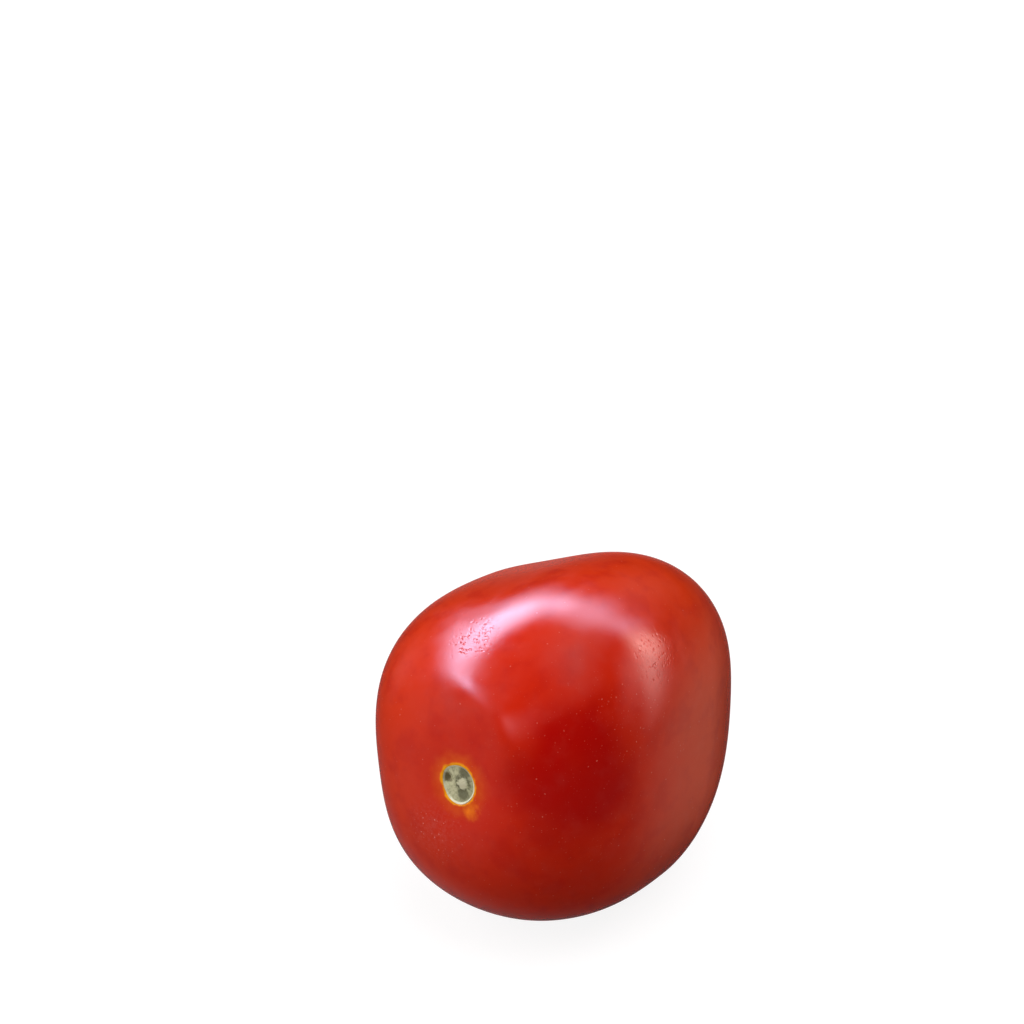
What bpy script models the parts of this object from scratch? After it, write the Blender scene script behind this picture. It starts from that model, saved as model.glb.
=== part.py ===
"""A ripe plum tomato lying on its side, its stem end towards -Y and tipped a little up.

The fruit grew as one piece, so it is one solid: a sphere whose points are moved out to
the fruit's own form. Every point of the skin is known by two angles, as on a globe whose
north pole is the stem scar: its polar angle from the scar, and its turn round the long
axis, counted from +X up over the top. Metres, +Z up, the table at Z = 0.
"""

import math

import bmesh
import bpy
import numpy as np

# Girth and length. The waist is the widest ring, and the two halves meet there.
WAIST_RADIUS = 0.0275
STEM_HALF_LENGTH = 0.0363
BLOSSOM_HALF_LENGTH = 0.0350

# How blocky each half is: 2 is an ellipse, more is squarer, less comes to a point.
STEM_BLOCKINESS = 2.60
BLOSSOM_BLOCKINESS = 1.70
STEM_END_WIDER = 0.026

# The seed chambers press the girth out of round: ridges round it, height as a share of
# the radius, and the turn of the first ridge in degrees.
GIRTH_LOBES = ((2, 0.0755, 88.8), (3, 0.038, 48.8), (4, 0.0445, 59.0), (5, 0.0115, 5.3))

# A low crease across the shoulder, where two chambers meet beside the stem scar.
CREASE_HEIGHT = 0.0006
CREASE_POLAR = 24.0
CREASE_WIDTH = 4.5
CREASE_TURN = 68.0
CREASE_REACH = 62.0
CREASE_SLANT = 0.12

# The stem end: a shallow dish, and in it the corky scar that the stalk left.
DISH_DEPTH = 0.0009
DISH_RADIUS = 0.0052
SCAR_RADIUS = 0.0030
SCAR_DEPTH = 0.00030
SCAR_WALL = 0.0005
SCAR_BOSS_RADIUS = 0.0009
SCAR_BOSS_HEIGHT = 0.00018

# The blossom end: a small tip with the dried mark of the flower.
TIP_HEIGHT = 0.0006
TIP_RADIUS = 0.0016

# How it lies: the stem end tipped up, and a flat spot where the flesh gives on the table.
STEM_TIPPED_UP = 11.0
FLAT_SPOT_DEPTH = 0.0015
FLAT_SPOT_EDGE = 0.0004

# The mesh: rings crowd towards both ends, where the small forms are.
SEGMENTS = 72
RINGS = 56
RING_CROWDING = 0.74

SKIN_RED = (0.55, 0.015, 0.006, 1.0)
SKIN_ROUGHNESS = 0.28


def clear_scene():
    """Removes what the start-up file brings."""
    for obj in list(bpy.data.objects):
        bpy.data.objects.remove(obj, do_unlink=True)


def smooth_step(x):
    """Rises from 0 at x = 0 to 1 at x = 1 with level ends."""
    x = np.clip(x, 0.0, 1.0)
    return x * x * (3.0 - 2.0 * x)


def bell(distance, width):
    """A rounded hump, 1 at distance 0."""
    return np.exp(-0.5 * (distance / width) ** 2)


def plain_form(polar, turn):
    """The fruit without its small forms: a squared-off ellipse turned and then lobed."""
    along, out = np.cos(polar), np.sin(polar)
    half_length = np.where(along > 0, STEM_HALF_LENGTH, BLOSSOM_HALF_LENGTH)
    blockiness = np.where(along > 0, STEM_BLOCKINESS, BLOSSOM_BLOCKINESS)
    reach = (np.abs(along) ** blockiness + np.abs(out) ** blockiness) ** (-1.0 / blockiness)
    lobes = sum(
        share * np.cos(count * (turn - math.radians(first)))
        for count, share, first in GIRTH_LOBES
    )
    radius = WAIST_RADIUS * out * reach * (1 + STEM_END_WIDER * along) * (1 + lobes * out)
    return radius, half_length * along * reach


def crease_relief(polar, turn):
    """Height of the shoulder crease, which fades out at both its ends."""
    across = np.degrees(turn) - CREASE_TURN
    across = (across + 180.0) % 360.0 - 180.0
    middle = CREASE_POLAR + CREASE_SLANT * across
    fade = smooth_step(1.0 - np.abs(across) / CREASE_REACH)
    return CREASE_HEIGHT * fade * bell(np.degrees(polar) - middle, CREASE_WIDTH)


def stem_relief(radius):
    """Height of the dish, the sunk scar and its boss, at a radius from the long axis."""
    dish = -DISH_DEPTH * bell(radius, DISH_RADIUS)
    scar = -SCAR_DEPTH * smooth_step((SCAR_RADIUS - radius) / SCAR_WALL)
    boss = SCAR_BOSS_HEIGHT * bell(radius, SCAR_BOSS_RADIUS)
    return dish + scar + boss


def skin_points(polar, turn):
    """Points of the skin in the fruit's own axes, with Z out of the stem scar."""
    radius, along = plain_form(polar, turn)
    near_stem = np.cos(polar) > 0
    along = along + np.where(near_stem, stem_relief(radius), -TIP_HEIGHT * bell(radius, TIP_RADIUS))
    swell = 1.0 + crease_relief(polar, turn) / np.hypot(radius, along)
    return np.stack((radius * swell * np.cos(turn), radius * swell * np.sin(turn), along * swell), -1)


def lay_down(points):
    """Turns the fruit on its side, with the stem end towards -Y and tipped up."""
    level = math.cos(math.radians(STEM_TIPPED_UP))
    rise = math.sin(math.radians(STEM_TIPPED_UP))
    x, y, z = points.T
    return np.stack((x, y * rise - z * level, y * level + z * rise), -1)


def settle(points):
    """Stands the fruit on Z = 0 with its flat spot, and its middle over the origin."""
    points = points.copy()
    depth = points[:, 2] - (points[:, 2].min() + FLAT_SPOT_DEPTH)
    blend = np.clip(1.0 - np.abs(depth) / FLAT_SPOT_EDGE, 0.0, 1.0)
    points[:, 2] = np.maximum(depth, 0.0) + blend * blend * FLAT_SPOT_EDGE / 4.0
    middle = (points[:, :2].min(axis=0) + points[:, :2].max(axis=0)) / 2.0
    points[:, :2] -= middle
    return points


def skin_material():
    material = bpy.data.materials.new("tomato_skin")
    material.use_nodes = True
    surface = material.node_tree.nodes["Principled BSDF"]
    surface.inputs["Base Color"].default_value = SKIN_RED
    surface.inputs["Roughness"].default_value = SKIN_ROUGHNESS
    surface.inputs["Metallic"].default_value = 0.0
    material.diffuse_color = SKIN_RED
    return material


def build_tomato(collection):
    """A globe with its poles on the long axis, its points moved out to the fruit's skin."""
    globe = bmesh.new()
    bmesh.ops.create_uvsphere(globe, u_segments=SEGMENTS, v_segments=RINGS, radius=1.0)
    sphere = np.array([vert.co for vert in globe.verts], dtype=float)
    polar = np.arccos(np.clip(sphere[:, 2], -1.0, 1.0))
    turn = np.arctan2(sphere[:, 1], sphere[:, 0])
    polar = polar - RING_CROWDING * np.sin(2.0 * polar) / 2.0
    for vert, point in zip(globe.verts, settle(lay_down(skin_points(polar, turn)))):
        vert.co = point
    bmesh.ops.recalc_face_normals(globe, faces=globe.faces)
    mesh = bpy.data.meshes.new("tomato")
    globe.to_mesh(mesh)
    globe.free()
    mesh.shade_smooth()
    mesh.materials.append(skin_material())
    tomato = bpy.data.objects.new("tomato", mesh)
    collection.objects.link(tomato)
    return tomato


def main():
    clear_scene()
    collection = bpy.data.collections.new("plum_tomato")
    bpy.context.scene.collection.children.link(collection)
    build_tomato(collection)


main()
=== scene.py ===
import math

import bmesh
import bpy
import numpy as np
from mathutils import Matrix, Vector, noise


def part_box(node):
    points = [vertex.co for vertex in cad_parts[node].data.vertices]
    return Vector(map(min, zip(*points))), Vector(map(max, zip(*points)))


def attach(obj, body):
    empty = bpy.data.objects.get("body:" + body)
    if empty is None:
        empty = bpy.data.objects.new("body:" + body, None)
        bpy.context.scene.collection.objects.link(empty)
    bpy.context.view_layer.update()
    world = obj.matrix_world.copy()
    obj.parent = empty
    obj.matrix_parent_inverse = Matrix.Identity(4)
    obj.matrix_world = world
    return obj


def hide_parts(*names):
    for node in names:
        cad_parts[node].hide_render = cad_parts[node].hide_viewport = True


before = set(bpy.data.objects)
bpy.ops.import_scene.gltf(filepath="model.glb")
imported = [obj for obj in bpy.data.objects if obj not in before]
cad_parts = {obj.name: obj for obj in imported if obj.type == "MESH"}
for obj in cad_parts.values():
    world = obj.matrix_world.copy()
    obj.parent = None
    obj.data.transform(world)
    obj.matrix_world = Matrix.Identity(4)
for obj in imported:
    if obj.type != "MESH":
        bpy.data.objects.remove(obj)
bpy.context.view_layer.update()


# The fruit: juicy flesh inside a thin, tight, waxy skin, which grew from one flower. It is
# nearly a turned form, pressed out of round by its seed chambers, with a shallow dish where
# the stalk sat. Its own weight has pressed a small flat spot on the side that it lies on.

# The solid's own driving sizes, in metres: girth and length, how blocky each half is, and
# the ridges round the girth (how many, share of the radius, turn of the first in degrees).
WAIST_RADIUS = 0.0275
STEM_HALF_LENGTH = 0.0363
BLOSSOM_HALF_LENGTH = 0.0350
STEM_BLOCKINESS = 2.60
BLOSSOM_BLOCKINESS = 1.70
STEM_END_WIDER = 0.026
GIRTH_LOBES = ((2, 0.0755, 88.8), (3, 0.038, 48.8), (4, 0.0445, 59.0), (5, 0.0115, 5.3))

# The crease across the shoulder, by angle from the scar and turn round the axis, in degrees.
CREASE_HEIGHT = 0.0006
CREASE_POLAR = 24.0
CREASE_WIDTH = 4.5
CREASE_TURN = 68.0
CREASE_REACH = 62.0
CREASE_SLANT = 0.12

# The dish, the bed that the scar fills in it, and the puckered lip round the scar.
DISH_DEPTH = 0.0009
DISH_RADIUS = 0.0052
SCAR_RADIUS = 0.00295
SCAR_BED_DEPTH = 0.00075
SCAR_BED_WALL = 0.00025
LIP_HEIGHT = 0.00006
LIP_WIDTH = 0.0003
PUCKER_HEIGHT = 0.000022
PUCKER_REACH = 0.0016

# The scar's outline, by turn in degrees: a flat on one side, a corner, and how tall it is.
SCAR_FLAT = (0.10, 214.0, 26.0)
SCAR_CORNER = (0.05, 141.0, 17.0)
SCAR_TALLER = (0.025, 97.0)

# The blossom end: a dimple, and the dried nub in it.
TIP_HEIGHT = 0.0006
TIP_RADIUS = 0.0016
TIP_NUB_HEIGHT = 0.00025
TIP_NUB_RADIUS = 0.0005

# Waves of the skin: length and height.
WAVES = ((0.011, 0.000040), (0.0045, 0.000010))

# How the fruit lies, and the flat spot that it lies on.
STEM_TIPPED_UP = math.radians(11.0)
FLAT_SPOT_DEPTH = 0.0015
FLAT_SPOT_EDGE = 0.0004

# The far half of the fruit counts as this far past the scar.
FAR_FROM_SCAR = 0.02

# The mesh: its rings crowd towards both ends, where the small forms are.
SEGMENTS = 320
RINGS = 240
RING_CROWDING = 0.74


def smooth_step(x):
    """Rises from 0 at x = 0 to 1 at x = 1 with level ends."""
    x = np.clip(x, 0.0, 1.0)
    return x * x * (3.0 - 2.0 * x)


def bell(distance, width):
    """A rounded hump, 1 at distance 0."""
    return np.exp(-0.5 * (distance / width) ** 2)


def turned_from(turn, degrees):
    """How far a turn is from another, in degrees from -180 to 180."""
    return (np.degrees(turn) - degrees + 180.0) % 360.0 - 180.0


def grain(points):
    """Smooth noise of about -1 to 1 at each of an array of points."""
    return np.array([noise.noise(point) for point in points.tolist()])


def scar_edge(turn):
    """Radius of the scar's uneven outline: a flat on one side of it and a slight corner."""
    flat_share, flat_turn, flat_width = SCAR_FLAT
    corner_share, corner_turn, corner_width = SCAR_CORNER
    taller_share, taller_turn = SCAR_TALLER
    flat = flat_share * bell(turned_from(turn, flat_turn), flat_width)
    corner = corner_share * bell(turned_from(turn, corner_turn), corner_width)
    taller = taller_share * np.cos(2.0 * (turn - math.radians(taller_turn)))
    return SCAR_RADIUS * (1.0 - flat + corner + taller)


def plain_form(polar, turn):
    """The squared-off ellipse, turned round the long axis and then lobed."""
    along, out = np.cos(polar), np.sin(polar)
    half_length = np.where(along > 0, STEM_HALF_LENGTH, BLOSSOM_HALF_LENGTH)
    blockiness = np.where(along > 0, STEM_BLOCKINESS, BLOSSOM_BLOCKINESS)
    reach = (np.abs(along) ** blockiness + np.abs(out) ** blockiness) ** (-1.0 / blockiness)
    lobes = sum(
        share * np.cos(count * (turn - math.radians(first)))
        for count, share, first in GIRTH_LOBES
    )
    radius = WAIST_RADIUS * out * reach * (1 + STEM_END_WIDER * along) * (1 + lobes * out)
    return radius, half_length * along * reach


def crease_relief(polar, turn):
    """Height of the low crease over the shoulder, where two chambers meet."""
    across = turned_from(turn, CREASE_TURN)
    middle = CREASE_POLAR + CREASE_SLANT * across
    fade = smooth_step(1.0 - np.abs(across) / CREASE_REACH)
    return CREASE_HEIGHT * fade * bell(np.degrees(polar) - middle, CREASE_WIDTH)


def stem_relief(radius, turn):
    """Height of the dish, of the bed that the scar fills, and of the puckered lip round it."""
    past_edge = radius - scar_edge(turn)
    dish = -DISH_DEPTH * bell(radius, DISH_RADIUS)
    bed = -SCAR_BED_DEPTH * smooth_step(-past_edge / SCAR_BED_WALL)
    lip = LIP_HEIGHT * bell(past_edge - LIP_WIDTH, LIP_WIDTH)
    spokes = grain(np.stack((4.0 * np.cos(turn), 4.0 * np.sin(turn), 300.0 * radius), -1))
    pucker = PUCKER_HEIGHT * spokes * smooth_step(1.0 - past_edge / PUCKER_REACH)
    return dish + bed + lip + np.where(past_edge > 0.0, pucker, 0.0)


def tip_relief(radius):
    """Height of the dimple at the blossom end, with the dried nub in it."""
    return TIP_HEIGHT * bell(radius, TIP_RADIUS) - TIP_NUB_HEIGHT * bell(radius, TIP_NUB_RADIUS)


def skin_points(polar, turn):
    """Points of the skin in the fruit's own axes, with Z out of the stem scar."""
    radius, along = plain_form(polar, turn)
    stem_half = np.cos(polar) > 0
    along = along + np.where(stem_half, stem_relief(radius, turn), tip_relief(radius))
    plain = np.stack((radius * np.cos(turn), radius * np.sin(turn), along), -1)
    height = crease_relief(polar, turn)
    for length, share in WAVES:
        height = height + share * grain(plain / length)
    return plain * (1.0 + height / np.hypot(radius, along))[:, None]


def lay_down(points):
    """Turns the fruit on its side, with the stem end towards -Y and tipped up."""
    x, y, z = points.T
    level, rise = math.cos(STEM_TIPPED_UP), math.sin(STEM_TIPPED_UP)
    return np.stack((x, y * rise - z * level, y * level + z * rise), -1)


ring_angles = np.linspace(0.0, math.pi, RINGS + 1)
ring_angles -= RING_CROWDING * np.sin(2.0 * ring_angles) / 2.0
turn_angles = np.linspace(0.0, 2.0 * math.pi, SEGMENTS, endpoint=False)
polar, turn = (grid.ravel() for grid in np.meshgrid(ring_angles[1:-1], turn_angles, indexing="ij"))
polar = np.append(polar, (0.0, math.pi))
turn = np.append(turn, (0.0, 0.0))
laid = lay_down(skin_points(polar, turn))
laid_low, laid_high = laid.min(axis=0), laid.max(axis=0)
laid_low[2] += FLAT_SPOT_DEPTH
node_low, node_high = (np.array(corner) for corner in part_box("tomato"))
fit = (node_high - node_low) / (laid_high - laid_low)


def stand(points):
    """Stands the laid fruit in its place, pressed flat where it would reach below the table."""
    above = points - laid_low
    near = np.clip(1.0 - np.abs(above[:, 2]) / FLAT_SPOT_EDGE, 0.0, 1.0)
    above[:, 2] = np.maximum(above[:, 2], 0.0) + near * near * FLAT_SPOT_EDGE / 4.0
    return node_low + above * fit


def ring_faces(segments, rings):
    """Faces of a closed skin of rings, whose two end points come last."""
    first_end = segments * rings
    last_ring = first_end - segments
    faces = []
    for segment in range(segments):
        beside = (segment + 1) % segments
        faces.append((first_end, segment, beside))
        faces.append((first_end + 1, last_ring + beside, last_ring + segment))
        for start in range(0, last_ring, segments):
            below = start + segments
            faces.append((start + segment, below + segment, below + beside, start + beside))
    return faces


def solid_piece(name, points, faces, finish):
    """A smooth piece of its own, in the scene and with its finish on."""
    mesh = bpy.data.meshes.new(name)
    mesh.from_pydata(points.tolist(), [], faces)
    mesh.shade_smooth()
    mesh.materials.append(finish)
    piece = bpy.data.objects.new(name, mesh)
    bpy.context.scene.collection.objects.link(piece)
    return piece


class Nodes:
    """A node tree being filled, with short ways to add its nodes."""

    def __init__(self, tree):
        self.nodes = tree.nodes
        self.links = tree.links

    def put(self, socket, value):
        """Sets a socket, or joins it to the output given."""
        if isinstance(value, bpy.types.NodeSocket):
            self.links.new(value, socket)
        else:
            socket.default_value = value

    def add(self, kind, settings, inputs):
        """Adds a node with its settings and its inputs, which go by name or by number."""
        made = self.nodes.new("ShaderNode" + kind)
        for key, value in settings.items():
            setattr(made, key, value)
        for key, value in inputs.items():
            self.put(made.inputs[key], value)
        return made

    def maths(self, operation, *values):
        """One sum on one to three numbers."""
        return self.add("Math", {"operation": operation}, dict(enumerate(values))).outputs[0]

    def vector(self, operation, *values):
        """One sum on vectors, given as the node with its two outputs."""
        return self.add("VectorMath", {"operation": operation}, dict(enumerate(values)))


class Finish(Nodes):
    """A material being made."""

    def __init__(self, name):
        self.material = bpy.data.materials.new(name)
        self.material.use_nodes = True
        super().__init__(self.material.node_tree)
        self.surface = self.nodes["Principled BSDF"]

    def ramp(self, value, start, end, low=0.0, high=1.0):
        """A smooth change from low at one value to high at another."""
        ends = {"Value": value, "From Min": start, "From Max": end, "To Min": low, "To Max": high}
        return self.add("MapRange", {"interpolation_type": "SMOOTHSTEP"}, ends).outputs["Result"]

    def speckle(self, at, size, detail=2.0, roughness=0.5):
        """Cloudy noise of about 0 to 1, with clouds of a size in millimetres."""
        inputs = {"Vector": at, "Scale": 1.0 / size, "Detail": detail, "Roughness": roughness}
        return self.add("TexNoise", {}, inputs).outputs["Fac"]

    def dots(self, at, spacing):
        """Scattered points: the distance to the nearest in millimetres, and its own number."""
        cells = self.add("TexVoronoi", {}, {"Vector": at, "Scale": 1.0 / spacing})
        number = self.add("SeparateColor", {}, {"Color": cells.outputs["Color"]})
        return self.maths("MULTIPLY", cells.outputs["Distance"], spacing), number.outputs

    def jolted(self, at, size, reach):
        """The place moved about by noise, which makes round dots uneven."""
        inputs = {"Vector": at, "Scale": 1.0 / size, "Detail": 1.0}
        shift = self.vector("SUBTRACT", self.add("TexNoise", {}, inputs).outputs["Color"], (0.5, 0.5, 0.5))
        return self.vector("MULTIPLY_ADD", shift.outputs[0], (reach, reach, reach), at).outputs[0]

    def distance(self, at, place):
        """The distance to a place in millimetres."""
        return self.vector("DISTANCE", at, place).outputs[1]

    def blend(self, factor, first, second):
        """The first colour, going over to the second as the factor goes to 1."""
        mixed = self.add("Mix", {"data_type": "RGBA"}, {0: factor, 6: first, 7: second})
        return mixed.outputs[2]

    def own_millimetres(self):
        """The place on the fruit in millimetres, in its own axes with Z out of the scar."""
        place = self.add("TexCoord", {}, {}).outputs["Object"]
        turned = {
            "Vector": place,
            "Location": centre,
            "Rotation": (math.pi / 2 - STEM_TIPPED_UP, 0.0, 0.0),
            "Scale": (0.001, 0.001, 0.001),
        }
        return self.add("Mapping", {"vector_type": "TEXTURE"}, turned).outputs["Vector"]

    def bump(self, height):
        """Relief from a height in millimetres."""
        made = self.add("Bump", {}, {"Strength": 1.0, "Distance": 0.001, "Height": height})
        self.put(self.surface.inputs["Normal"], made.outputs["Normal"])


# Colours of the skin, with the places that they gather round, in own millimetres.
RIPE_RED = (0.60, 0.0160, 0.0020, 1.0)
ORANGE_RED = (0.66, 0.0350, 0.0030, 1.0)
# The deepest red is partly the skin's own colour and partly painted shade, on the cheek that faces the
# camera.
DEEP_RED_AND_SHADE = (0.45, 0.0024, 0.0004, 1.0)
DARK_RED = (0.48, 0.0060, 0.0010, 1.0)
CHEEK = (16.2, 4.6, 30.4)
# The pale pink is waxy bloom all over; in the patch below the scar it is partly painted reflection as
# well.
BLOOM_AND_PAINTED_REFLECTION = (0.80, 0.3000, 0.2700, 1.0)
BLOOM_AND_REFLECTION_PLACE = (-3.2, -9.0, 35.2)
PALE_FLECK = (0.78, 0.3000, 0.2400, 1.0)
SCAR_HALO = (0.95, 0.3800, 0.0010, 1.0)
SCAR_BLUSH = (0.78, 0.1050, 0.0010, 1.0)
SMUDGE = (0.95, 0.2200, 0.0010, 1.0)
SMUDGE_PLACE = (2.6, -3.3, 35.3)
DRIED_TIP = (0.27, 0.0850, 0.0220, 1.0)

# How uneven each patch of colour is, and how far it reaches: full colour, then none (mm).
CHEEK_UNEVEN = 12.0
CHEEK_DEEP_AND_SHADE = (6.0, 13.0)
CHEEK_RIPE = (14.0, 40.0)
BLOOM_AND_REFLECTION_REACH = (1.0, 8.0)
BLUSH_UNEVEN, BLUSH_REACH = 2.4, (-0.6, 3.0)
HALO_UNEVEN, HALO_REACH = 1.1, (0.10, 0.55)
SMUDGE_UNEVEN, SMUDGE_REACH = 2.6, (0.0, 2.1)
TIP_UNEVEN, TIP_REACH = 1.3, (0.45, 0.90)
BLOSSOM_END = (-25.0, -20.0)

# Size of the clouds in the skin (mm), and strength of the faint ones.
CLOUD_SIZE = 12.0
WAVER_SIZE = 1.6
MOTTLE_SIZE, MOTTLE_STRENGTH = 4.2, 0.38
DUST_SIZE, DUST_STRENGTH = 3.2, 0.020
BLOOM_AND_REFLECTION_GRAIN, BLOOM_AND_REFLECTION_STRENGTH = 0.6, 0.065
DULL_SIZE = 5.0
GLOSSY, SATINY, DRY = 0.15, 0.23, 0.70

FLECKS = (
    # spacing, largest radius (mm), share left out, middle, reach (mm), strength
    (0.72, 0.12, 0.58, CHEEK, 90.0, 0.34),
    (0.36, 0.07, 0.62, CHEEK, 26.0, 0.34),
    (0.42, 0.13, 0.40, BLOOM_AND_REFLECTION_PLACE, 6.5, 0.75),
    (0.50, 0.12, 0.45, (21.0, 12.5, 21.5), 9.0, 0.55),
)
FLECK_EDGE = 0.05
JOLT_SIZE, JOLT_REACH = 0.5, 0.35

# Places where the skin was rubbed: middle, reach (mm), strength.
RUBBED_PLACES = (((-3.9, 20.2, 28.5), 5.2, 1.0), ((19.6, 20.0, 15.0), 6.0, 0.45))
DENT_SPACING = 0.46
DENT_DEPTH = 0.042
DENT_STRETCH = (0.55, 1.0, 1.0)
DENT_SMALLEST, DENT_LARGEST = 0.16, 0.36
PEEL_SIZE, PEEL_HEIGHT = 1.4, 0.0040
SATIN_SIZE, SATIN_HEIGHT = 0.25, 0.0040


def ripened(skin, at, cloud):
    """The skin's reds: deepest on the cheek, partly its own deeper red and partly painted shade, more
    orange away from it, softly mottled.
    """
    to_cheek = skin.maths("MULTIPLY_ADD", cloud, CHEEK_UNEVEN, skin.distance(at, CHEEK))
    colour = skin.blend(skin.ramp(to_cheek, *CHEEK_RIPE), RIPE_RED, ORANGE_RED)
    colour = skin.blend(skin.ramp(to_cheek, *CHEEK_DEEP_AND_SHADE, 1.0, 0.0), colour, DEEP_RED_AND_SHADE)
    mottle = skin.speckle(at, MOTTLE_SIZE, 3.0, 0.55)
    mottle = skin.ramp(mottle, 0.46, 0.70, 0.0, MOTTLE_STRENGTH)
    return skin.blend(mottle, colour, DARK_RED)


def bloomed_and_reflected(skin, at, colour):
    """A breath of waxy bloom all over, and a pale patch below the scar that is partly bloom and partly
    painted reflection.
    """
    dusty = skin.ramp(skin.speckle(at, DUST_SIZE, 4.0, 0.6), 0.44, 0.76, 0.0, DUST_STRENGTH)
    bloom_and_reflection = skin.ramp(skin.distance(at, BLOOM_AND_REFLECTION_PLACE), *BLOOM_AND_REFLECTION_REACH, BLOOM_AND_REFLECTION_STRENGTH, 0.0)
    broken = skin.ramp(skin.speckle(at, BLOOM_AND_REFLECTION_GRAIN, 3.0, 0.7), 0.42, 0.64)
    bloom_and_reflection = skin.maths("MULTIPLY", bloom_and_reflection, broken)
    return skin.blend(skin.maths("ADD", dusty, bloom_and_reflection), colour, BLOOM_AND_PAINTED_REFLECTION)


def haloed(skin, at, colour, wavering):
    """The orange blush and yellow thread round the scar, and the smudge beside it."""
    past_scar = skin.add("Attribute", {"attribute_name": "past_scar"}, {}).outputs["Fac"]
    blush = skin.maths("MULTIPLY_ADD", wavering, -BLUSH_UNEVEN, past_scar)
    colour = skin.blend(skin.ramp(blush, *BLUSH_REACH, 0.75, 0.0), colour, SCAR_BLUSH)
    thread = skin.maths("MULTIPLY_ADD", wavering, -HALO_UNEVEN, past_scar)
    colour = skin.blend(skin.ramp(thread, *HALO_REACH, 1.0, 0.0), colour, SCAR_HALO)
    to_smudge = skin.distance(at, SMUDGE_PLACE)
    to_smudge = skin.maths("MULTIPLY_ADD", wavering, -SMUDGE_UNEVEN, to_smudge)
    return skin.blend(skin.ramp(to_smudge, *SMUDGE_REACH, 0.95, 0.0), colour, SMUDGE)


def flecked(skin, at, jolted, colour):
    """Pale flecks, thinly over the whole skin and thickly in a few places."""
    for spacing, largest, left_out, place, reach, strength in FLECKS:
        off, number = skin.dots(jolted, spacing)
        past = skin.maths("SUBTRACT", off, skin.maths("MULTIPLY", number[1], largest))
        fleck = skin.ramp(past, -FLECK_EDGE, FLECK_EDGE, strength, 0.0)
        fleck = skin.maths("MULTIPLY", fleck, skin.ramp(number[0], left_out, 1.0))
        near = skin.ramp(skin.distance(at, place), 0.35 * reach, reach, 1.0, 0.0)
        colour = skin.blend(skin.maths("MULTIPLY", fleck, near), colour, PALE_FLECK)
    return colour


def dried_tip(skin, at, wavering):
    """Where the dried mark of the flower is: 1 on it and 0 off it."""
    along = skin.add("SeparateXYZ", {}, {"Vector": at}).outputs["Z"]
    across = skin.vector("MULTIPLY", at, (1.0, 1.0, 0.0)).outputs[0]
    from_axis = skin.vector("LENGTH", across).outputs[1]
    uneven = skin.maths("MULTIPLY_ADD", wavering, -TIP_UNEVEN, from_axis)
    blossom_half = skin.ramp(along, *BLOSSOM_END, 1.0, 0.0)
    return skin.maths("MULTIPLY", skin.ramp(uneven, *TIP_REACH, 1.0, 0.0), blossom_half)


def skin_relief(skin, at, jolted):
    """Height of the skin's fine grain, and of the small dents in its rubbed places."""
    stretched = skin.vector("MULTIPLY", jolted, DENT_STRETCH).outputs[0]
    off, number = skin.dots(stretched, DENT_SPACING)
    size = skin.maths("MULTIPLY_ADD", number[1], DENT_LARGEST - DENT_SMALLEST, DENT_SMALLEST)
    dents = skin.ramp(skin.maths("DIVIDE", off, size), 0.05, 1.0, -DENT_DEPTH, 0.0)
    dents = skin.maths("MULTIPLY", dents, skin.ramp(number[0], 0.35, 0.60))
    rubbed = 0.0
    for place, reach, strength in RUBBED_PLACES:
        nearness = skin.ramp(skin.distance(at, place), 0.5 * reach, reach, strength, 0.0)
        rubbed = skin.maths("MAXIMUM", nearness, rubbed)
    peel = skin.maths("MULTIPLY", skin.speckle(at, PEEL_SIZE, 3.0), PEEL_HEIGHT)
    satin = skin.maths("MULTIPLY", skin.speckle(at, SATIN_SIZE, 2.0), SATIN_HEIGHT)
    return skin.maths("MULTIPLY_ADD", dents, rubbed, skin.maths("ADD", peel, satin))


def ripe_skin():
    """Tight, waxy, glossy red skin."""
    skin = Finish("ripe_skin")
    at = skin.own_millimetres()
    wavering = skin.maths("SUBTRACT", skin.speckle(at, WAVER_SIZE, 3.0), 0.5)
    cloud = skin.maths("SUBTRACT", skin.speckle(at, CLOUD_SIZE, 4.0), 0.5)
    jolted = skin.jolted(at, JOLT_SIZE, JOLT_REACH)
    colour = bloomed_and_reflected(skin, at, ripened(skin, at, cloud))
    colour = haloed(skin, at, colour, wavering)
    colour = flecked(skin, at, jolted, colour)
    tip = dried_tip(skin, at, wavering)
    skin.put(skin.surface.inputs["Base Color"], skin.blend(tip, colour, DRIED_TIP))
    skin.bump(skin_relief(skin, at, jolted))
    dull = skin.ramp(skin.speckle(at, DULL_SIZE, 4.0, 0.6), 0.42, 0.70, GLOSSY, SATINY)
    dull = skin.maths("MAXIMUM", dull, skin.maths("MULTIPLY", tip, DRY))
    skin.put(skin.surface.inputs["Roughness"], dull)
    return skin.material


centre = Vector(stand(np.zeros((1, 3)))[0])
fruit = solid_piece("tomato_fruit", stand(laid), ring_faces(SEGMENTS, RINGS - 1), ripe_skin())
past_edge = plain_form(polar, turn)[0] - scar_edge(turn)
past_edge = np.where(np.cos(polar) > 0, past_edge, FAR_FROM_SCAR)
past_edge = np.minimum(past_edge, FAR_FROM_SCAR) * 1000.0
fruit.data.attributes.new("past_scar", "FLOAT", "POINT").data.foreach_set("value", past_edge)
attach(fruit, "root")
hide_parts("tomato")


# The stem scar: the round of dry, corky tissue that closed the fruit when the stalk broke off
# at its joint. It is part of the fruit and fills its bed in the dish, with a papery collar
# round it, faint spokes, and a pale core ringed by the ends of the sap vessels.

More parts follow.
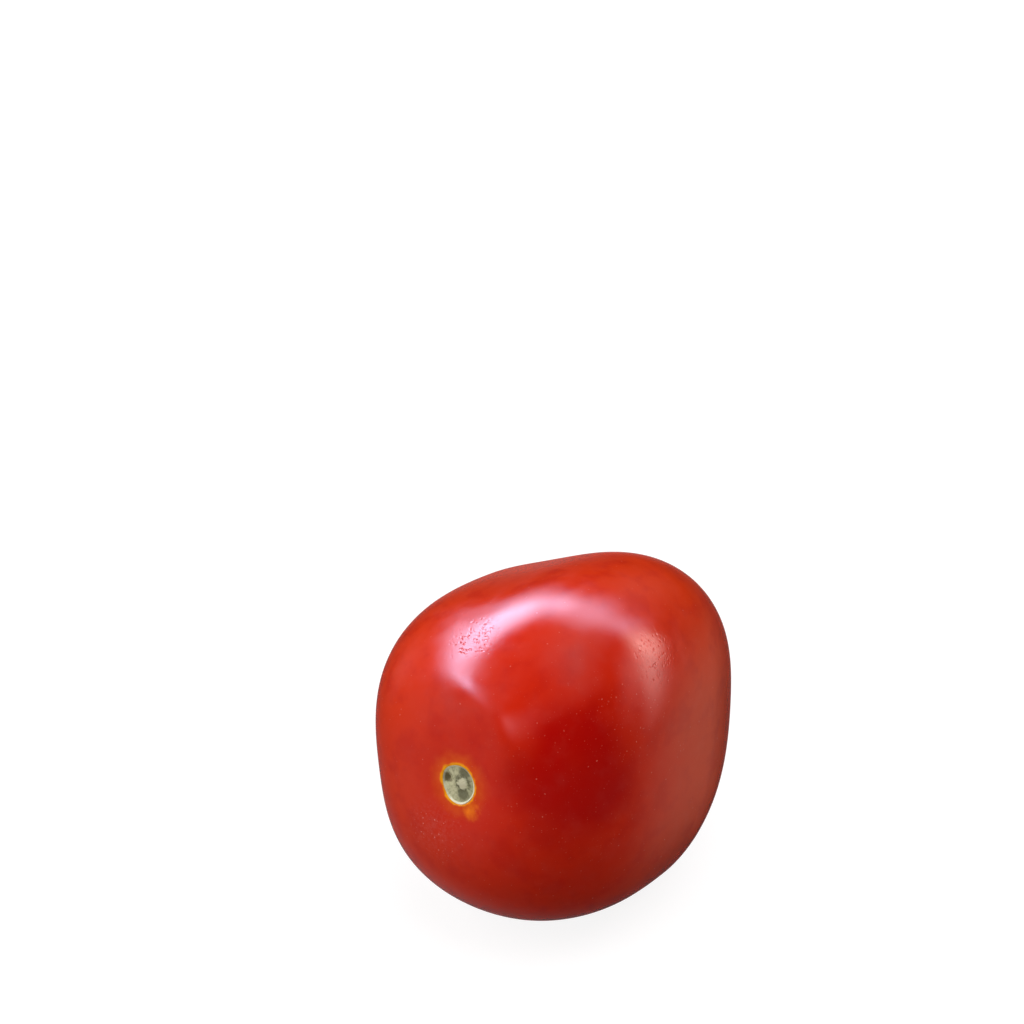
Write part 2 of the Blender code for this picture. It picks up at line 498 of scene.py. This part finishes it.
SCAR_SEGMENTS = 180
SCAR_RINGS = 56
SCAR_RIM = 0.985
SCAR_OUTSIDE = 1.04
SCAR_UNDERSIDE = 0.0009
CORE_PLACE = (0.00063, 0.00028)
CORE_RADIUS = 0.00055
CORE_HEIGHT = 0.00017
VESSELS = 6
VESSEL_RING = 0.00112
VESSEL_WIDTH = 0.00014
VESSEL_DEPTH = 0.00006
COLLAR_HEIGHT, COLLAR_SHARE, COLLAR_WIDTH = 0.00015, 0.95, 0.03
COLLAR_TURN, COLLAR_REACH, COLLAR_LEAST = 305.0, 50.0, 0.3
FLOOR_DEPTH = 0.00016
FLOOR_SWELL = 0.00006
SPOKE_HEIGHT = 0.00004

# Hollows in the cork: place, width and depth. Crumbs of it: size and height.
HOLLOWS = (((-0.0020, 0.0005), 0.0004, 0.00014), ((0.0007, 0.0021), 0.0005, 0.00008))
CRUMBS = ((0.00035, 0.00002), (0.00014, 0.000012))


def scar_height(share, turn):
    """Height of the scar's face over the dish; share is 0 in the middle and 1 at its edge."""
    radius = share * scar_edge(turn)
    x, y = radius * np.cos(turn), radius * np.sin(turn)
    plan = np.stack((x, y, np.zeros_like(x)), -1)
    low_right = bell(turned_from(turn, COLLAR_TURN), COLLAR_REACH)
    collar = COLLAR_HEIGHT * (COLLAR_LEAST + (1.0 - COLLAR_LEAST) * low_right)
    height = collar * bell(share - COLLAR_SHARE, COLLAR_WIDTH)
    height += FLOOR_SWELL * bell(share, 0.45) - FLOOR_DEPTH * smooth_step((1.0 - share) / 0.12)
    to_core = np.hypot(x - CORE_PLACE[0], y - CORE_PLACE[1])
    height += CORE_HEIGHT * bell(to_core, CORE_RADIUS)
    vessels = bell(to_core - VESSEL_RING, VESSEL_WIDTH)
    height -= VESSEL_DEPTH * vessels * smooth_step(np.cos(VESSELS * turn) * 2.0 - 0.6)
    for (hollow_x, hollow_y), width, depth in HOLLOWS:
        height -= depth * bell(np.hypot(x - hollow_x, y - hollow_y), width)
    for size, crumb_height in CRUMBS:
        height += crumb_height * grain(plan / size)
    spokes = grain(np.stack((7.0 * np.cos(turn), 7.0 * np.sin(turn), 2.0 * share), -1))
    height += SPOKE_HEIGHT * spokes * smooth_step(share / 0.5)
    past_rim = (share - SCAR_RIM) / (SCAR_OUTSIDE - SCAR_RIM)
    return height - SCAR_UNDERSIDE * smooth_step(past_rim)


share_steps = SCAR_OUTSIDE * np.linspace(0.0, 1.0, SCAR_RINGS + 1)[1:] ** 0.8
scar_turns = np.linspace(0.0, 2.0 * math.pi, SCAR_SEGMENTS, endpoint=False)
share, scar_turn = (grid.ravel() for grid in np.meshgrid(share_steps, scar_turns, indexing="ij"))
share = np.append(share, (0.0, 0.0))
scar_turn = np.append(scar_turn, (0.0, 0.0))
scar_radius = share * scar_edge(scar_turn)
near_polar = np.linspace(0.0, 0.25, 200)
near_radius, near_along = plain_form(near_polar, np.zeros_like(near_polar))
scar_along = np.interp(scar_radius, near_radius, near_along) - DISH_DEPTH * bell(scar_radius, DISH_RADIUS)
scar_along += scar_height(share, scar_turn)
scar_along[-1] -= SCAR_UNDERSIDE
scar_own = np.stack((scar_radius * np.cos(scar_turn), scar_radius * np.sin(scar_turn), scar_along), -1)

CORK_GREY = (0.38, 0.37, 0.21, 1.0)
CORK_PALE = (0.56, 0.54, 0.33, 1.0)
CORK_DARK = (0.13, 0.125, 0.060, 1.0)
CORK_OLIVE = (0.09, 0.065, 0.012, 1.0)
CORE_CREAM = (0.58, 0.55, 0.37, 1.0)
COLLAR_CREAM = (0.80, 0.77, 0.58, 1.0)

# Dark patches in the cork: place, where it is full and where it ends (mm), strength.
DARK_PATCHES = (
    ((0.70, 2.05, 0.0), 0.55, 1.20, 0.85),
    ((0.85, -1.35, 0.0), 0.60, 1.20, 0.85),
    ((-0.45, 0.90, 0.0), 0.10, 0.70, 0.70),
)
OLIVE_PLACE = (-2.1, 0.5, 0.0)


def dry_cork():
    """Dry grey-buff cork, darker in patches and along faint spokes, with a pale core."""
    cork = Finish("dry_cork")
    at = cork.own_millimetres()
    flat = cork.vector("MULTIPLY", cork.jolted(at, 0.45, 0.9), (1.0, 1.0, 0.0)).outputs[0]
    sides = cork.add("SeparateXYZ", {}, {"Vector": flat}).outputs
    spread = cork.speckle(at, 0.45, 3.0, 0.6)
    spread = cork.maths("MULTIPLY_ADD", sides["X"], -0.07, spread)
    colour = cork.blend(cork.ramp(spread, 0.38, 0.62), CORK_GREY, CORK_PALE)
    from_middle = cork.vector("LENGTH", flat).outputs[1]
    spoke = cork.speckle(cork.vector("NORMALIZE", flat).outputs[0], 0.09, 2.0)
    spoke = cork.maths("MULTIPLY", cork.ramp(spoke, 0.50, 0.66), cork.ramp(from_middle, 1.2, 2.1))
    colour = cork.blend(cork.maths("MULTIPLY", spoke, 0.45), colour, CORK_DARK)
    for patch, full, end, strength in DARK_PATCHES:
        dark = cork.ramp(cork.distance(flat, patch), full, end, strength, 0.0)
        colour = cork.blend(dark, colour, CORK_DARK)
    core_x, core_y = CORE_PLACE
    to_core = cork.distance(flat, (core_x * 1000.0, core_y * 1000.0, 0.0))
    ring = cork.maths("ABSOLUTE", cork.maths("SUBTRACT", to_core, VESSEL_RING * 1000.0))
    broken = cork.ramp(cork.speckle(at, 0.5, 2.0), 0.38, 0.58, 0.35, 1.0)
    ring = cork.maths("MULTIPLY", cork.ramp(ring, 0.10, 0.40, 0.95, 0.0), broken)
    colour = cork.blend(ring, colour, CORK_DARK)
    colour = cork.blend(cork.ramp(to_core, 0.58, 0.98, 0.95, 0.0), colour, CORE_CREAM)
    to_hollow = cork.distance(flat, OLIVE_PLACE)
    colour = cork.blend(cork.ramp(to_hollow, 0.40, 1.15, 0.95, 0.0), colour, CORK_OLIVE)
    low_right = cork.maths("SUBTRACT", sides["X"], sides["Y"])
    collar_side = cork.ramp(low_right, 0.3, 2.0, 0.35, 1.0)
    past_scar = cork.add("Attribute", {"attribute_name": "past_scar"}, {}).outputs["Fac"]
    collar = cork.maths("MULTIPLY", cork.ramp(past_scar, -0.38, -0.20), collar_side)
    cork.put(cork.surface.inputs["Base Color"], cork.blend(collar, colour, COLLAR_CREAM))
    cork.surface.inputs["Roughness"].default_value = 0.75
    cork.bump(cork.maths("MULTIPLY", cork.speckle(at, 0.09, 3.0, 0.6), 0.02))
    return cork.material


scar = solid_piece(
    "stem_scar", stand(lay_down(scar_own)), ring_faces(SCAR_SEGMENTS, SCAR_RINGS), dry_cork()
)
past_edge = (scar_radius - scar_edge(scar_turn)) * 1000.0
scar.data.attributes.new("past_scar", "FLOAT", "POINT").data.foreach_set("value", past_edge)
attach(scar, "root")


# The table: a plain pale sheet, much larger than the picture takes in. It shows white to the
# camera, whitest far from the fruit, and sends little of its light back up at the fruit.

TABLE_SIZE = 8.0
TABLE_BOUNCE = (0.36, 0.32, 0.29, 1.0)
TABLE_SEEN = (0.20, 0.20, 0.20, 1.0)
OWN_WHITE_NEAR, OWN_WHITE_FAR = 0.88, 1.0
NEAR, FAR = 0.3, 1.5

table_mesh = bpy.data.meshes.new("table")
table_form = bmesh.new()
bmesh.ops.create_grid(table_form, x_segments=1, y_segments=1, size=TABLE_SIZE / 2)
table_form.to_mesh(table_mesh)
table_form.free()
table = bpy.data.objects.new("table", table_mesh)
bpy.context.scene.collection.objects.link(table)
sheet = Finish("pale_sheet")
seen = sheet.add("LightPath", {}, {}).outputs["Is Camera Ray"]
sheet.put(sheet.surface.inputs["Base Color"], sheet.blend(seen, TABLE_BOUNCE, TABLE_SEEN))
sheet.surface.inputs["Emission Color"].default_value = (1.0, 1.0, 1.0, 1.0)
place = sheet.add("TexCoord", {}, {}).outputs["Object"]
from_fruit = sheet.distance(place, (0.0, 0.0, 0.0))
whiter = sheet.ramp(from_fruit, NEAR, FAR, OWN_WHITE_NEAR, OWN_WHITE_FAR)
sheet.put(sheet.surface.inputs["Emission Strength"], sheet.maths("MULTIPLY", seen, whiter))
sheet.surface.inputs["Roughness"].default_value = 0.9
sheet.surface.inputs["Specular IOR Level"].default_value = 0.0
table_mesh.materials.append(sheet.material)
table.visible_glossy = False


# The camera: above and to the right of the stem end, on a short telephoto lens, with the
# fruit below and right of the picture's middle, as in the photograph.

IMAGE_SIDE = 1024
FRUIT_PIXEL = (575.5, 719.8)
CAMERA_AZIMUTH = math.radians(31.5)
CAMERA_ELEVATION = math.radians(25.0)
CAMERA_DISTANCE = 0.3274
LENS = 70.0
SENSOR = 36.0

camera_data = bpy.data.cameras.new("camera")
camera_data.lens = LENS
camera_data.sensor_width = SENSOR
camera_data.clip_start = 0.01
camera = bpy.data.objects.new("camera", camera_data)
bpy.context.scene.collection.objects.link(camera)
camera.rotation_euler = (math.pi / 2 - CAMERA_ELEVATION, 0.0, CAMERA_AZIMUTH)
focal_pixels = IMAGE_SIDE * LENS / SENSOR
ray_right = (FRUIT_PIXEL[0] - IMAGE_SIDE / 2) / focal_pixels
ray_up = (IMAGE_SIDE / 2 - FRUIT_PIXEL[1]) / focal_pixels
ray = Vector((ray_right, ray_up, -1.0)).normalized()
camera.location = centre - camera.rotation_euler.to_matrix() @ ray * CAMERA_DISTANCE
bpy.context.scene.camera = camera


# The studio: an arch of soft boxes behind the fruit and at its sides, each brightest at one
# place and fading to its edges, which shows as the long highlight; and a few broad lights
# that carry the soft shading. The room round them is dim, with a few faint glows.

STUDIO_DISTANCE = 3.0
SKY = (0.58, 0.68, 1.0)
LILAC = (0.72, 0.72, 1.0)
ROSE = (1.0, 0.72, 0.66)
ARCH_BOXES = (
    # azimuth from the camera's side, elevation, fade sideways, down and up (degrees),
    # radiance, colour
    (-67.0, 31.0, 6.0, 5.0, 6.0, 1.2, SKY),
    (-78.0, 33.5, 6.0, 5.0, 6.0, 2.4, SKY),
    (-89.0, 34.0, 6.0, 3.5, 4.0, 9.0, SKY),
    (-100.0, 35.5, 6.5, 3.0, 3.0, 12.5, SKY),
    (-111.0, 37.0, 7.0, 3.0, 5.5, 9.5, SKY),
    (-122.0, 38.5, 7.0, 3.0, 5.5, 15.0, SKY),
    (-134.0, 36.0, 7.0, 3.0, 8.5, 10.5, SKY),
    (-147.0, 35.5, 8.0, 5.0, 10.0, 14.5, SKY),
    (-160.0, 40.0, 8.0, 11.0, 11.0, 9.2, SKY),
    (-174.0, 51.0, 8.0, 7.5, 9.0, 7.8, SKY),
    (174.0, 57.0, 10.0, 5.5, 8.5, 5.2, SKY),
    (157.0, 60.0, 11.0, 8.5, 8.5, 4.4, SKY),
    (139.0, 60.0, 11.0, 9.5, 9.0, 4.9, SKY),
    (122.0, 57.0, 9.0, 9.0, 8.5, 4.2, LILAC),
    (110.0, 44.0, 6.0, 9.0, 9.0, 5.0, LILAC),
    (140.0, 36.0, 20.0, 11.0, 8.0, 0.45, ROSE),
    (101.5, 24.0, 4.0, 9.0, 10.0, 10.5, ROSE),
    (94.0, 10.0, 4.5, 12.0, 12.0, 4.6, ROSE),
    (82.0, 20.0, 5.5, 12.0, 10.0, 1.4, ROSE),
    (-23.0, 27.5, 8.0, 8.0, 5.0, 1.6, (0.9, 0.9, 1.0)),
)
BROAD_LIGHTS = (
    # azimuth, elevation, width, height (degrees), brightness on a face turned to it, colour
    (-75.0, 31.0, 55.0, 55.0, 0.82, (1.0, 1.0, 1.0)),
    (60.0, 75.0, 50.0, 50.0, 0.68, (1.0, 1.0, 1.0)),
    (30.0, 58.0, 50.0, 50.0, 0.27, (1.0, 1.0, 1.0)),
    (-145.0, 58.0, 50.0, 50.0, 0.10, (1.0, 1.0, 1.0)),
    (92.0, -4.0, 50.0, 40.0, 0.20, (1.0, 0.97, 0.93)),
)


def direction(azimuth, elevation):
    """A unit vector from the fruit, by azimuth from the camera's side and elevation."""
    turned = CAMERA_AZIMUTH + math.radians(azimuth)
    raised = math.radians(elevation)
    return Vector(
        (math.cos(raised) * math.sin(turned), -math.cos(raised) * math.cos(turned), math.sin(raised))
    )


def soft_box(name, azimuth, elevation, width, height, colour):
    """A rectangular light facing the fruit, its sizes in metres."""
    toward = direction(azimuth, elevation)
    lamp = bpy.data.lights.new(name, "AREA")
    lamp.shape = "RECTANGLE"
    lamp.size = width
    lamp.size_y = height
    lamp.color = colour
    box = bpy.data.objects.new(name, lamp)
    bpy.context.scene.collection.objects.link(box)
    box.location = centre + toward * STUDIO_DISTANCE
    box.rotation_euler = toward.to_track_quat("Z", "Y").to_euler()
    box.visible_camera = False
    return box


def grade(box, peak, sideways, down, up):
    """Makes a box brightest at a height on its face, fading by a bell each way, in metres."""
    box.data.use_nodes = True
    face = Nodes(box.data.node_tree)
    place = face.add("NewGeometry", {}, {}).outputs["Position"]
    turned = box.rotation_euler.to_matrix()

    def along(axis, start):
        reached = face.vector("DOT_PRODUCT", place, axis).outputs["Value"]
        return face.maths("SUBTRACT", reached, box.location.dot(axis) + start)

    across = face.maths("DIVIDE", along(turned.col[0], 0.0), sideways)
    upward = along(turned.col[1], peak)
    above = face.maths("DIVIDE", face.maths("MAXIMUM", upward, 0.0), up)
    below = face.maths("DIVIDE", face.maths("MINIMUM", upward, 0.0), down)
    off_peak = face.maths("ADD", above, below)
    squares = face.maths("MULTIPLY_ADD", across, across, face.maths("MULTIPLY", off_peak, off_peak))
    fade = face.maths("EXPONENT", face.maths("MULTIPLY", squares, -0.5))
    face.put(face.nodes["Emission"].inputs["Strength"], fade)


# How many of its own fades a box reaches each way before it is cut off.
REACH = 2.2
for number, (azimuth, elevation, sideways, down, up, radiance, colour) in enumerate(ARCH_BOXES):
    sideways, down, up = (STUDIO_DISTANCE * math.radians(fade) for fade in (sideways, down, up))
    sideways = sideways * math.cos(math.radians(elevation))
    lifted = math.degrees(REACH * (up - down) / 2 / STUDIO_DISTANCE)
    width, height = 2 * REACH * sideways, REACH * (up + down)
    box = soft_box(f"arch_box_{number + 1}", azimuth, elevation + lifted, width, height, colour)
    box.data.energy = radiance * math.pi * width * height
    box.visible_diffuse = False
    grade(box, -REACH * (up - down) / 2, sideways, down, up)

for number, (azimuth, elevation, width, height, brightness, colour) in enumerate(BROAD_LIGHTS):
    width, height = (2 * STUDIO_DISTANCE * math.tan(math.radians(size) / 2) for size in (width, height))
    box = soft_box(f"broad_light_{number + 1}", azimuth, elevation, width, height, colour)
    box.data.energy = brightness * math.pi**2 * STUDIO_DISTANCE**2
    box.visible_glossy = False

ROOM_DIM = 0.015
ROOM_GLOWS = (
    # azimuth, elevation, spread (degrees), radiance, colour
    (130.0, 76.0, 20.0, 0.35, (0.95, 0.97, 1.0)),
    (112.0, -22.0, 22.0, 0.50, (1.0, 0.80, 0.56)),
    (-75.0, -14.0, 32.0, 0.30, (1.0, 0.9, 0.9)),
    (-126.0, 12.0, 14.0, 0.35, (0.9, 0.9, 1.0)),
    (-148.0, -50.0, 27.0, 0.20, (1.0, 0.66, 0.70)),
    (179.0, -19.0, 15.0, 0.42, (1.0, 0.34, 0.30)),
)

world = bpy.data.worlds.new("studio")
bpy.context.scene.world = world
world.use_nodes = True
room = Nodes(world.node_tree)
looking = room.add("TexCoord", {}, {}).outputs["Generated"]
light = (ROOM_DIM,) * 3
for azimuth, elevation, spread, radiance, colour in ROOM_GLOWS:
    sharpness = 1.0 / (1.0 - math.cos(math.radians(spread)))
    facing = room.vector("DOT_PRODUCT", looking, direction(azimuth, elevation)).outputs["Value"]
    glow = room.maths("EXPONENT", room.maths("MULTIPLY_ADD", facing, sharpness, -sharpness))
    peak = [radiance * channel for channel in colour]
    tinted = room.add("VectorMath", {"operation": "SCALE"}, {0: peak, "Scale": glow}).outputs["Vector"]
    light = room.vector("ADD", tinted, light).outputs["Vector"]
room.put(room.nodes["Background"].inputs["Color"], light)
white = room.add("Background", {}, {"Color": (1.0, 1.0, 1.0, 1.0)}).outputs["Background"]
seen = room.add("LightPath", {}, {}).outputs["Is Camera Ray"]
dim = room.nodes["Background"].outputs["Background"]
choice = room.add("MixShader", {}, {"Fac": seen, 1: dim, 2: white}).outputs["Shader"]
room.put(room.nodes["World Output"].inputs["Surface"], choice)
bpy.context.scene.view_settings.view_transform = "Standard"
